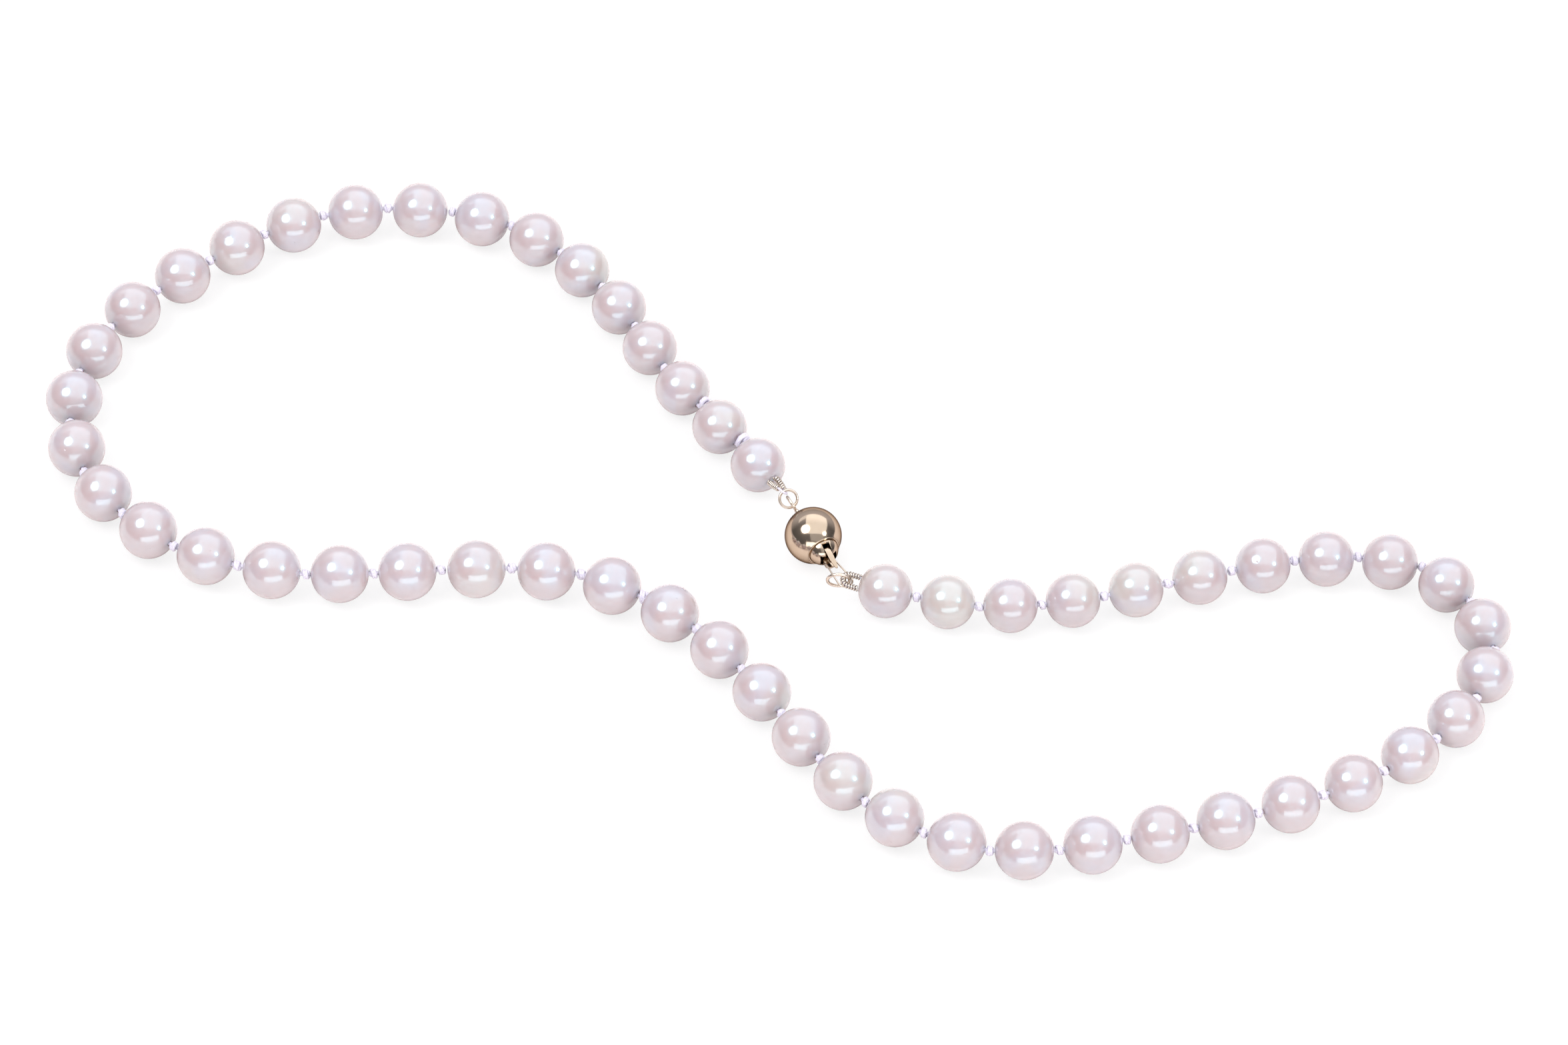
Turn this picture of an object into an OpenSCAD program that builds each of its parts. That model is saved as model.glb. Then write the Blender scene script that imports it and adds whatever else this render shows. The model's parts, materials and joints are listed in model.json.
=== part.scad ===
// Pearl necklace: 53 graduated round pearls, knotted one by one on silk, closed by a ball clasp.
// It lies on a table in the figure of two lobes joined at a narrow waist, where the clasp is.
// The origin is on the table, under the middle of the necklace; +Z is up, +Y points away.
// The feature that takes the most skill is the clasp: a slotted hollow ball, and a folded
// spring tongue with a raised catch that a thumb lever presses down.

/* [Pearls] */
// Diameter of the pearls next to the clasp
pearl_end_d = 7.0; // [6:0.1:9]
// Diameter of the largest pearl
pearl_mid_d = 7.48; // [6:0.01:9.6]
// Diameter of the hole drilled through each pearl
pearl_bore_d = 0.8; // [0.6:0.05:1]

/* [Silk] */
// Diameter of the silk thread
thread_d = 0.56; // [0.4:0.02:0.6]
// Room for a knot between two pearls
knot_gap = 1.3; // [1:0.05:1.6]
// Width of a knot
knot_d = 1.16; // [0.9:0.02:1.4]
// Clearance between a knot and the pearl beside it
knot_clear = 0.05; // [0.03:0.01:0.1]

/* [Ball of the clasp] */
// Outer diameter of the ball
ball_d = 7.4; // [7.1:0.1:8]
// Sheet thickness of the ball and its mouth
ball_wall = 0.3; // [0.2:0.05:0.4]
// Distance from the ball's centre to the edge of its shell
shell_edge = 2.9; // [2.75:0.05:2.95]
// Outer radius of the domed mouth
dome_r = 2.05; // [1.95:0.05:2.1]
// Distance that the dome stands out of the shell's edge
dome_reach = 1.8; // [1.6:0.05:1.9]
// Width of the slot in the mouth
slot_w = 2.3; // [2:0.05:2.4]
// Height of the slot's top edge over the clasp's axis
slot_top = 0.75; // [0.7:0.02:0.85]
// Depth of the slot's bottom edge under the clasp's axis
slot_bottom = 0.8; // [0.75:0.05:0.95]
// Width of the notch over the slot, for the thumb lever
notch_w = 1.0; // [0.9:0.02:1.1]
// Length of the notch, back from the front of the mouth
notch_len = 1.45; // [1.2:0.05:1.5]

/* [Eye and rings] */
// Length of the post between the ball and its eye
post_len = 0.9; // [0.8:0.05:1.4]
// Radius of the post
post_r = 0.28; // [0.22:0.02:0.36]
// Radius of the eye, to the middle of its wire
eye_r = 1.15; // [1:0.05:1.3]
// Thickness of the eye's wire
eye_wire = 0.36; // [0.28:0.02:0.4]
// Turn of the eye about the clasp's axis
eye_roll = 20.6; // [0:0.2:30]
// Radius of the ring at the ball, to the middle of its wire
ring_a_r = 1.155; // [1.1:0.005:1.25]
// Wire of the ring at the ball
ring_a_wire = 0.36; // [0.28:0.02:0.4]
// Rise of that ring away from the ball
ring_a_rise = 36.3; // [30:0.1:42]
// Radius of the ring at the tongue, to the middle of its wire
ring_b_r = 1.42; // [1.36:0.02:1.5]
// Wire of the ring at the tongue
ring_b_wire = 0.4; // [0.3:0.02:0.44]
// Lean of that ring, from upright towards the front
ring_b_lean = 10; // [0:1:15]

/* [Tongue] */
// Thickness of the tongue's base leaf
base_t = 0.3; // [0.2:0.02:0.34]
// Height of the base leaf's underside over the slot's bottom edge
base_lift = 0.15; // [0.1:0.01:0.2]
// Width of the base leaf
base_w = 1.6; // [1.4:0.05:1.8]
// Length of the base leaf outside the dome
base_out = 0.85; // [0.7:0.05:1]
// Distance from the ball's centre back to the fold of the tongue
fold_back = 0.8; // [0.5:0.05:1]
// Width of the fold
fold_w = 0.9; // [0.7:0.05:1]
// Thickness of the spring leaf
spring_t = 0.22; // [0.16:0.02:0.26]
// Width of the catch
catch_w = 1.4; // [1.3:0.05:1.45]
// Clearance between the catch and the slot's top edge when the lever is at its release point
catch_clear = 0.06; // [0.04:0.01:0.1]
// Length of the thumb lever outside the dome
lever_len = 2.0; // [1.6:0.05:2.3]
// Width of the thumb lever in its notch
lever_w = 0.7; // [0.6:0.02:0.74]
// Width of the thumb lever's tip
lever_tip_w = 0.36; // [0.3:0.02:0.44]
// Height of the thumb lever's back over the clasp's axis
lever_top = 1.3; // [1.15:0.05:1.4]
// Thickness of the bail's wire
bail_wire = 0.25; // [0.2:0.01:0.28]
// Radius of the bail's bend, to the middle of its wire
bail_r = 0.95; // [0.9:0.02:1.05]

/* [Bullion wire at the ends] */
// Outer diameter of the bullion tube that guards the silk
bullion_d = 0.8; // [0.74:0.01:0.84]
// Bore of the bullion tube
bullion_bore = 0.44; // [0.4:0.01:0.5]
// Pitch of the turns of the bullion
bullion_pitch = 0.28; // [0.26:0.01:0.32]
// Diameter of the silk inside the bullion
core_d = 0.4; // [0.3:0.01:0.4]
// Radius of the bare silk bend round the ring at the ball
bend_a_r = 0.5; // [0.48:0.01:0.52]
// Turn of the loop at the ball, from square to its ring
loop_a_turn = 24; // [15:1:30]
// Turn of the loop at the tongue, from lying flat
loop_b_turn = 10; // [0:1:12]
// Radius of the bullion bend round the ring at the tongue
bend_b_r = 0.85; // [0.8:0.01:0.9]

/* [Hidden] */
$fn = 96;
N = 53;                  // pearls on the strand
biggest = 24;            // number of the largest pearl, counted from the ball
taper_span = 26.5;       // pearls from the largest one over which the size falls

// Silhouette of the strand on the table. Each entry is the number of a knot and its place;
// knot 0 is where the thread leaves pearl 1 for the ball, knot 53 where it leaves pearl 53.
// Two pairs of knots on each lobe are the corners of parallelograms, so that the lobe can sway
// and the loop stays closed: the last corner of each is worked out from the other three.
k5 = [-24.5, 38];
k8 = [-45, 51.5];
k19 = [-78.5, -8.5];
k21 = [-61.3, -13];
k23 = [-44, -12];
k25 = [-26, -12.5];
k31 = [10.5, -49.5];
k35 = [43, -55];
k44 = [82, -9.5];
k47 = [57.5, -10.5];
k49 = [41, -15];
k52 = [17, -15.5];
route = [
    [0, [-1, 3.5]], [3, [-16, 23.5]], [5, k5], [7, [-37, 49]], [8, k8], [10, k8 + k21 - k23],
    [12, k5 + k19 - k25], [14, [-89.5, 29.5]], [15, [-93, 21]], [16, [-93.5, 12.5]],
    [17, [-91, 4]], [18, [-85.5, -3]], [19, k19], [21, k21], [23, k23], [25, k25],
    [27, [-11, -21.5]], [29, [0, -35.5]], [31, k31], [33, [25.5, -57]], [35, k35],
    [37, k35 + k47 - k49], [39, k31 + k44 - k52], [41, [88, -31]], [42, [90.5, -23.5]],
    [43, [88, -15.5]], [44, k44], [45, [74.5, -8]], [47, k47], [49, k49], [51, [25, -17]],
    [52, k52], [53, [9, -13.5]]
];
ball_at = [3.7, -5.4];   // where the ball lies
clasp_yaw = -62.5;       // direction of the clasp's axis, from the ball to the tongue

// --- Strand ---

function pearl_r(i) = (pearl_end_d + (pearl_mid_d - pearl_end_d)
    * max(0, 1 - pow((i - biggest) / taper_span, 2))) / 2;
function sum(v, i = 0) = i < len(v) ? v[i] + sum(v, i + 1) : 0;

// A smooth curve through the route: on each stretch a cubic whose ends follow the tangents.
P = [for (r = route) r[1]];
last = len(P) - 1;
function unit(v) = v / norm(v);
function heading(i) = i == 0 ? unit(P[1] - P[0]) : i == last ? unit(P[last] - P[last - 1])
    : unit(unit(P[i] - P[i - 1]) * norm(P[i + 1] - P[i])
         + unit(P[i + 1] - P[i]) * norm(P[i] - P[i - 1]));
function on_curve(i, t) = let (c = norm(P[i + 1] - P[i]))
      P[i] * (1 + 2 * t) * pow(1 - t, 2) + heading(i) * c * t * pow(1 - t, 2)
    + P[i + 1] * t * t * (3 - 2 * t) - heading(i + 1) * c * t * t * (1 - t);
steps = 12;
curve = [for (i = [0 : last - 1], s = [0 : steps - 1]) on_curve(i, s / steps), P[last]];
hops = [for (i = [1 : len(curve) - 1]) norm(curve[i] - curve[i - 1])];
function running(v, i = 0, s = 0, out = []) = i == len(v) ? concat(out, [s])
    : running(v, i + 1, s + v[i], concat(out, [s]));
reach = running(hops);   // length of the curve up to each of its points

// The strand's own length sets the size of the figure; its ends stay at the clasp.
pitches = [for (i = [1 : N]) 2 * pearl_r(i) + knot_gap];
figure = sum(pitches) / reach[len(reach) - 1];
function grown(p) = ball_at + (p - ball_at) * figure;

// The sections of the strand, each from one hinge knot to the next.
corner = [0, 5, 8, 10, 12, 19, 21, 23, 25, 27, 31, 35, 37, 39, 44, 47, 49, 52, 53];
function section_of(m) = max([for (s = [0 : len(corner) - 2]) if (corner[s] < m) s]);
function place_in_route(k) = [for (i = [0 : last]) if (route[i][0] == k) i][0];
function reach_at(k) = reach[place_in_route(k) * steps];
function point_at(s) = let (i = max([for (j = [0 : len(reach) - 2]) if (reach[j] <= s) j]))
    curve[i] + (curve[i + 1] - curve[i]) * (s - reach[i]) / (reach[i + 1] - reach[i]);
function along(m) = let (s = section_of(m), a = corner[s], b = corner[s + 1],
    whole = sum([for (i = [a + 1 : b]) pitches[i - 1]]),
    part = sum([for (i = [a + 1 : m]) pitches[i - 1]]))
    m == b ? reach_at(b) : reach_at(a) + (reach_at(b) - reach_at(a)) * part / whole;
knots_at = [for (m = [0 : N]) m == 0 ? P[0] : m == N ? P[last] : grown(point_at(along(m)))];

// The figure is moved so that the middle of its outline lies over the origin.
mids = [for (i = [1 : N]) (knots_at[i - 1] + knots_at[i]) / 2];
low = [for (c = [0, 1]) min([for (i = [1 : N]) mids[i - 1][c] - pearl_r(i)])];
high = [for (c = [0, 1]) max([for (i = [1 : N]) mids[i - 1][c] + pearl_r(i)])];
shift = -(low + high) / 2;

function knot_z(m) = m == 0 ? pearl_r(1) : m == N ? pearl_r(N) : (pearl_r(m) + pearl_r(m + 1)) / 2;
function knot(m) = concat(knots_at[m] + shift, [knot_z(m)]);
function pearl_at(i) = concat(mids[i - 1] + shift, [pearl_r(i)]);
function room(m) = norm(knots_at[m] - mids[m - 1]) + norm(mids[m] - knots_at[m])
    - pearl_r(m) - pearl_r(m + 1);

module from_to(a, b) {
    // Puts its children at a, with their x axis towards b.
    d = b - a;
    translate(a) rotate([0, -atan2(d[2], norm([d[0], d[1]])), atan2(d[1], d[0])]) children();
}

module rod(a, b, diameter) {
    from_to(a, b) rotate([0, 90, 0]) cylinder(d = diameter, h = norm(b - a));
}

module pearl(i) {
    // A round pearl, turned about the axis of the hole drilled through it.
    r = pearl_r(i);
    from_to(pearl_at(i), knot(i)) rotate([0, 90, 0]) rotate_extrude() difference() {
        circle(r);
        translate([-2 * r, -2 * r]) square([2 * r + pearl_bore_d / 2, 4 * r]);
    }
}

// Half of a knot's outline: shares of its radius, and of its length from one end.
knot_half = [[0, 0], [0.62, 0], [0.9, 0.12], [1, 0.25], [0.9, 0.4], [0.8, 0.5]];

module silk_knot(m) {
    // Two turns of silk drawn tight round the thread, with a waist between them.
    length = room(m) - 2 * knot_clear;
    side = [for (p = knot_half) [p[0] * knot_d / 2, (p[1] - 0.5) * length]];
    back = [for (k = [len(side) - 2 : -1 : 0]) [side[k][0], -side[k][1]]];
    from_to(knot(m), 2 * knot(m) - knot(m - 1)) rotate([0, 90, 0])
        rotate_extrude() polygon(concat(side, back));
}

module pearls(first, end) {
    color("lavenderblush") for (i = [first : end]) pearl(i);
}

module silk(first, end, held) {
    // The thread through pearls first to end. It carries the knots between them and, with
    // held, the knot after its last pearl; elsewhere it stops short of its neighbour's knot.
    color("thistle") for (i = [first : end]) {
        a = knot(i - 1);
        b = knot(i);
        u = unit(b - a);
        at_knot = thread_d / 4;
        from = i == 1 ? knot_gap / 2 : i == first ? room(i - 1) / 2 + knot_clear : at_knot;
        short = i == N ? knot_gap / 2 : i == end && !held ? room(i) / 2 + knot_clear : at_knot;
        rod(a + u * from, b - u * short, thread_d);
        if (i < end || held) silk_knot(i);
    }
}

// --- Clasp: x runs along its axis from the ball to the tongue, z is up ---

ball_r = ball_d / 2;
ball_centre = concat(ball_at + shift, [ball_r]);

module clasp() {
    translate(ball_centre) rotate([0, 0, clasp_yaw]) children();
}

function turned(v, yaw) = [v[0] * cos(yaw) - v[1] * sin(yaw), v[0] * sin(yaw) + v[1] * cos(yaw), v[2]];
function in_room(v) = ball_centre + turned(v, clasp_yaw);

module torus(r, wire) {
    rotate_extrude() translate([r, 0]) circle(d = wire);
}

dome_x = shell_edge + dome_reach - dome_r;
dome_front = dome_x + dome_r;

module ball_shell() {
    color("burlywood") clasp() rotate([0, 90, 0]) rotate_extrude() difference() {
        circle(ball_r);
        circle(ball_r - ball_wall);
        translate([-2 * ball_r, -2 * ball_r]) square([2 * ball_r, 4 * ball_r]);
        translate([0, shell_edge]) square(2 * ball_r);
    }
}

module ball_mouth() {
    // A dome on the shell's rim, with a spigot inside the rim. The slot takes the tongue, and
    // the notch over it takes the thumb lever.
    seam = 0.02;
    inner_r = dome_r - ball_wall;
    spigot_r = sqrt(pow(ball_r - ball_wall, 2) - shell_edge * shell_edge) - seam;
    spigot_w = 0.3;
    color("burlywood") clasp() difference() {
        rotate([0, 90, 0]) rotate_extrude() union() {
            difference() {
                translate([0, dome_x]) circle(dome_r);
                translate([0, dome_x]) circle(inner_r);
                translate([-2 * ball_r, -2 * ball_r]) square([2 * ball_r, 4 * ball_r]);
                translate([0, shell_edge - 2 * ball_r]) square(2 * ball_r);
            }
            translate([spigot_r - spigot_w, shell_edge - spigot_w])
                square([spigot_w, 1.5 * spigot_w]);
            translate([spigot_r - spigot_w, shell_edge])
                square([inner_r + ball_wall / 3 - spigot_r + spigot_w, spigot_w / 2]);
        }
        translate([dome_x + 0.5, -slot_w / 2, -slot_bottom])
            cube([ball_r, slot_w, slot_top + slot_bottom]);
        translate([dome_front - notch_len, -notch_w / 2, 0]) cube([ball_r, notch_w, ball_r]);
    }
}

eye_x = -(ball_r + post_len + eye_r + eye_wire / 2);

module ball_eye() {
    flare_r = 2.4 * post_r;
    flare_len = 1.5 * post_r;
    color("burlywood") clasp() rotate([eye_roll, 0, 0]) {
        difference() {
            translate([eye_x + eye_r, 0, 0]) rotate([0, 90, 0]) union() {
                cylinder(r = post_r, h = post_len + ball_r / 2);
                translate([0, 0, post_len]) cylinder(r1 = post_r, r2 = flare_r, h = flare_len);
            }
            sphere(ball_r);
        }
        translate([eye_x, 0, 0]) rotate([90, 0, 0]) torus(eye_r, eye_wire);
    }
}

// The ring at the ball passes through the eye low down and rises away from the ball.
ring_a_play = 0.19;      // between the ring's wire and the eye's, at the lowest place
ring_a_back = 0.1;       // from the middle of the eye to the ring's nearest point
ring_a_near = [eye_x - ring_a_back, 0, ring_a_play - (eye_r - (eye_wire + ring_a_wire) / 2)];
ring_a_dir = [-cos(ring_a_rise), 0, sin(ring_a_rise)];
function rolled(v) = [v[0], -v[2] * sin(eye_roll), v[2] * cos(eye_roll)];
ring_a_far = in_room(rolled(ring_a_near + 2 * ring_a_r * ring_a_dir));

module ring_a() {
    color("tan") clasp() rotate([eye_roll, 0, 0])
        translate(ring_a_near + ring_a_r * ring_a_dir) rotate([0, ring_a_rise, 0])
            torus(ring_a_r, ring_a_wire);
}

base_z = base_lift - slot_bottom;
base_top = base_z + base_t;
base_end = dome_front + base_out;
fold_share = 0.43;       // share of the room over the base's underside that the fold's radius takes
fold_clear = 0.05;       // between the bead of the spring leaf and the fold round it
fold_r = (slot_top + slot_bottom - base_lift) * fold_share;
fold_z = base_z + fold_r;
bead_r = fold_r - base_t - fold_clear;

// The bail's bend lies beyond the base leaf, and a little to the side that the strand pulls to.
bail_reach = 3;
bail_side = 0.2;
bail_bend = [base_end + bail_reach, bail_side, base_top + bail_wire / 2];

// The ring at the tongue stands in the bail's bend, and faces along the room's y axis.
ring_b_lift = 0.675;     // height of the ring's centre over the bail
ring_b_at = in_room(bail_bend + [0, -bail_r, ring_b_lift]);
ring_b_far = ring_b_at + [ring_b_r, 0, 0];

module ring_b() {
    color("tan") translate(ring_b_at) rotate([90 + ring_b_lean, 0, 0]) torus(ring_b_r, ring_b_wire);
}

module tongue_base() {
    corner_r = 0.35;
    color("burlywood") clasp() {
        translate([0, 0, base_z]) linear_extrude(base_t)
            polygon([[-fold_back, -fold_w / 2], [dome_x, -base_w / 2],
                [base_end - corner_r, -base_w / 2], [base_end, corner_r - base_w / 2],
                [base_end, base_w / 2 - corner_r], [base_end - corner_r, base_w / 2],
                [dome_x, base_w / 2], [-fold_back, fold_w / 2]]);
        translate([-fold_back, fold_w / 2, fold_z]) rotate([90, 0, 0]) linear_extrude(fold_w)
            difference() {
                circle(fold_r);
                circle(fold_r - base_t);
                polygon([[0, 0], [0, -2 * fold_r], [3 * fold_r, -2 * fold_r], [3 * fold_r, 2 * fold_r],
                    [fold_r, 2 * fold_r]]);
            }
    }
}

catch_top = slot_top - catch_clear;
catch_back = 0.5;        // from the inside of the dome back to the catch's steep face
catch_h = 0.4;           // height of the catch over the spring leaf
catch_ramp = 0.6;        // length of the catch, with its ramp
catch_x = dome_front - ball_wall - catch_back;
leaf_z = catch_top - catch_h;
tip_x = dome_front + lever_len;
spine_x = dome_front - notch_len + 0.1;

// Outlines of the leaf with its catch, and of the lever that stands on it in the notch:
// from the side as [x, z], and one half of each from above as [x, y].
leaf_side = [
    [-fold_back, fold_z - spring_t / 2], [catch_x - catch_ramp, leaf_z - spring_t],
    [catch_x, leaf_z - spring_t], [catch_x, catch_top], [catch_x - catch_ramp / 2, catch_top],
    [catch_x - catch_ramp, leaf_z], [-fold_back, fold_z + spring_t / 2]
];
leaf_half = [
    [-fold_back, fold_w / 2 - fold_clear], [catch_x - catch_ramp, catch_w / 2], [catch_x, catch_w / 2]
];
lever_side = [
    [spine_x, leaf_z - spring_t / 2], [spine_x, lever_top - 0.3], [spine_x + 0.35, lever_top],
    [dome_front - 0.4, lever_top], [dome_front + 0.6, lever_top - 0.3], [tip_x, lever_top - 0.68],
    [tip_x, lever_top - 0.82], [dome_front + 0.6, lever_top - 0.56],
    [dome_front - 0.25, lever_top - 0.35], [catch_x + 0.2, leaf_z - spring_t / 2]
];
lever_half = [
    [spine_x, lever_w / 2], [dome_front + 0.4, lever_w / 2], [tip_x - 0.1, lever_tip_w / 2],
    [tip_x, lever_tip_w / 2 - 0.1]
];

module cut_leaf(side, half) {
    // A form with one outline from the side and one, the same on both halves, from above.
    intersection() {
        translate([0, ball_r, 0]) rotate([90, 0, 0]) linear_extrude(ball_d) polygon(side);
        translate([0, 0, -ball_r]) linear_extrude(ball_d) polygon(concat(half,
            [for (k = [len(half) - 1 : -1 : 0]) [half[k][0], -half[k][1]]]));
    }
}

module tongue_spring() {
    color("burlywood") clasp() {
        translate([-fold_back, fold_w / 2 - fold_clear, fold_z]) rotate([90, 0, 0])
            cylinder(r = bead_r, h = fold_w - 2 * fold_clear);
        cut_leaf(leaf_side, leaf_half);
        cut_leaf(lever_side, lever_half);
    }
}

bail_foot = [dome_front + 0.15, (base_w - bail_wire) / 2];
function bail_turn(s) = let (d = [bail_foot[0] - bail_bend[0], s * bail_foot[1] - bail_bend[1]])
    atan2(d[1], d[0]) - s * acos(bail_r / norm(d));

module bail() {
    // Wire soldered on the base leaf; both legs run straight into the bend round the ring, and
    // are a little thinner than it, so that their ends are sunk in it.
    leg_d = bail_wire - 0.03;
    sunk = 0.1;
    color("tan") clasp() {
        translate(bail_bend) rotate([0, 0, bail_turn(-1)])
            rotate_extrude(angle = bail_turn(1) - bail_turn(-1))
                translate([bail_r, 0]) circle(d = bail_wire);
        for (s = [-1, 1]) {
            foot = [bail_foot[0], s * bail_foot[1], base_top + leg_d / 2];
            end = bail_bend + bail_r * [cos(bail_turn(s)), sin(bail_turn(s)), 0];
            rod(foot, end + sunk * unit(end - foot), leg_d);
        }
    }
}

// --- Bullion loops: x runs from the middle of the bend to the pearl ---

module loop_frame(middle, i, roll) {
    d = pearl_at(i) - middle;
    translate(middle)
        rotate([roll, -atan2(d[2], norm([d[0], d[1]])), atan2(d[1], d[0])]) children();
}

bullion_clear = 0.03;    // between the end of a bullion leg and its pearl
function leg_len(middle, i, bend) = norm(pearl_at(i) - middle)
    - sqrt(pow(pearl_r(i) + bullion_clear, 2) - pow(bend - bullion_d / 2, 2));

module bend(r, wire) {
    rotate([0, 0, 90]) rotate_extrude(angle = 180) translate([r, 0]) circle(d = wire);
}

module bullion_leg(x0, x1, y) {
    // A tube of wound wire: the turns show as ribs.
    turns = round((x1 - x0) / bullion_pitch);
    rib = 0.35 * bullion_pitch;
    wall_r = bullion_d / 2 - rib;
    translate([x0, y, 0]) rotate([0, 90, 0]) rotate_extrude() difference() {
        union() {
            translate([bullion_bore / 2, 0]) square([wall_r - bullion_bore / 2, x1 - x0]);
            for (k = [0 : turns - 1]) translate([wall_r, (k + 0.5) * (x1 - x0) / turns]) circle(rib);
        }
        translate([0, -1]) square([bullion_bore / 2, x1 - x0 + 2]);
    }
}

roll_a = 90 - eye_roll - loop_a_turn;
bare_a = 0.2;            // where the bullion starts after the bare bend

module bullion_a() {
    color("khaki") loop_frame(ring_a_far, 1, roll_a)
        for (s = [-1, 1]) bullion_leg(bare_a, leg_len(ring_a_far, 1, bend_a_r), s * bend_a_r);
}

module bullion_b() {
    color("khaki") loop_frame(ring_b_far, N, loop_b_turn) {
        for (s = [-1, 1]) bullion_leg(0, leg_len(ring_b_far, N, bend_b_r), s * bend_b_r);
        difference() {
            bend(bend_b_r, bullion_d);
            bend(bend_b_r, bullion_bore);
        }
    }
}

module silk_loop(middle, i, bend_r, roll) {
    color("thistle") loop_frame(middle, i, roll) {
        bend(bend_r, core_d);
        for (s = [-1, 1]) translate([0, s * bend_r, 0]) rotate([0, 90, 0])
            cylinder(d = core_d, h = leg_len(middle, i, bend_r));
    }
}

// Each length of silk has the knots that follow its pearls, so the last one lies between two
// sections; only the silk of pearl 53 has none, because its loop follows.
pearls(1, 5);  // pearls_01_05
pearls(6, 8);  // pearls_06_08
pearls(9, 10);  // pearls_09_10
pearls(11, 12);  // pearls_11_12
pearls(13, 19);  // pearls_13_19
pearls(20, 21);  // pearls_20_21
pearls(22, 23);  // pearls_22_23
pearls(24, 25);  // pearls_24_25
pearls(26, 27);  // pearls_26_27
pearls(28, 31);  // pearls_28_31
pearls(32, 35);  // pearls_32_35
pearls(36, 37);  // pearls_36_37
pearls(38, 39);  // pearls_38_39
pearls(40, 44);  // pearls_40_44
pearls(45, 47);  // pearls_45_47
pearls(48, 49);  // pearls_48_49
pearls(50, 52);  // pearls_50_52
pearls(53, 53);  // pearl_53
silk(1, 5, true);  // silk_01_05
silk(6, 8, true);  // silk_06_08
silk(9, 10, true);  // silk_09_10
silk(11, 12, true);  // silk_11_12
silk(13, 19, true);  // silk_13_19
silk(20, 21, true);  // silk_20_21
silk(22, 23, true);  // silk_22_23
silk(24, 25, true);  // silk_24_25
silk(26, 27, true);  // silk_26_27
silk(28, 31, true);  // silk_28_31
silk(32, 35, true);  // silk_32_35
silk(36, 37, true);  // silk_36_37
silk(38, 39, true);  // silk_38_39
silk(40, 44, true);  // silk_40_44
silk(45, 47, true);  // silk_45_47
silk(48, 49, true);  // silk_48_49
silk(50, 52, true);  // silk_50_52
silk(53, 53, false);  // silk_53
silk_loop(ring_a_far, 1, bend_a_r, roll_a);  // silk_loop_a
silk_loop(ring_b_far, N, bend_b_r, loop_b_turn);  // silk_loop_b
bullion_a();
bullion_b();
ball_shell();
ball_mouth();
ball_eye();
ring_a();
ring_b();
tongue_base();
tongue_spring();
bail();
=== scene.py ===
"""Looks of a knotted pearl necklace that lies in two lobes and closes with a ball clasp.

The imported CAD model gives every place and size. This script dresses the pearls and the ball of
the clasp, and stands finer pieces in for the silk, the bullion wire and the tongue.
"""

import json
import logging
import math
import random
from dataclasses import dataclass, field
from enum import Enum
from typing import Any, Iterator

import bmesh
import bpy
import numpy as np
from mathutils import Matrix, Vector


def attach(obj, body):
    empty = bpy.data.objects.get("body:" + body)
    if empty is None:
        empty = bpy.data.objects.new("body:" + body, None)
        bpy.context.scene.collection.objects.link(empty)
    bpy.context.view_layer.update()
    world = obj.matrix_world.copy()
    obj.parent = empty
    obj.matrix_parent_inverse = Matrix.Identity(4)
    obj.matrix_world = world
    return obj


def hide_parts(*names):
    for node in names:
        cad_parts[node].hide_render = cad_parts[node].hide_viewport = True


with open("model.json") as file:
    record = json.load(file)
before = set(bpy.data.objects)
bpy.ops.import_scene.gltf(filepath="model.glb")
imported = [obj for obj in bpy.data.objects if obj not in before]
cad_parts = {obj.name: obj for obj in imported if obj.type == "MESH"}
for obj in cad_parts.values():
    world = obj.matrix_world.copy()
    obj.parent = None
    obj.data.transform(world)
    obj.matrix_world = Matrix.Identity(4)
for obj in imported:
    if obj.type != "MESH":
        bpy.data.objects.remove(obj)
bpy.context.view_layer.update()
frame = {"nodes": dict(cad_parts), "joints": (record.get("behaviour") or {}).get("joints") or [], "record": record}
LOG = logging.getLogger("pearl_necklace")
MM = 0.001


# --- Small helpers -----------------------------------------------------------------------------


def linear(hex_code: str) -> tuple[float, float, float, float]:
    """Turns an sRGB hex colour into linear light.

    Args:
        hex_code: Six hex digits, with or without a leading hash.

    Returns:
        Red, green, blue and an alpha of 1.
    """
    digits = hex_code.lstrip("#")
    shares = [int(digits[i:i + 2], 16) / 255 for i in (0, 2, 4)]
    light = [s / 12.92 if s <= 0.04045 else ((s + 0.055) / 1.055) ** 2.4 for s in shares]
    return (light[0], light[1], light[2], 1.0)


def add_node(tree: bpy.types.NodeTree, kind: str, settings: dict[str, Any] | None = None,
             links: dict[str, bpy.types.NodeSocket] | None = None) -> bpy.types.Node:
    """Adds one node to a tree.

    Args:
        tree: The node tree.
        kind: The node's type.
        settings: Values by name: properties of the node, or the identifiers of its inputs.
        links: Output sockets by the identifier of the input that each runs to.

    Returns:
        The new node.
    """
    node = tree.nodes.new(kind)
    properties = {k: v for k, v in (settings or {}).items() if hasattr(node, k)}
    for name, value in properties.items():
        setattr(node, name, value)
    inputs = {s.identifier: s for s in node.inputs}
    for name, value in (settings or {}).items():
        if name not in properties:
            inputs[name].default_value = value
    for name, output in (links or {}).items():
        tree.links.new(output, inputs[name])
    return node


def per_mm(size_mm: float) -> float:
    """Scale of a texture whose features are size_mm wide, as coordinates are in metres."""
    return 1.0 / (size_mm * MM)


def unit(v: np.ndarray) -> np.ndarray:
    """The vector at length 1."""
    return v / np.linalg.norm(v)


# --- Finishes ----------------------------------------------------------------------------------


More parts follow.
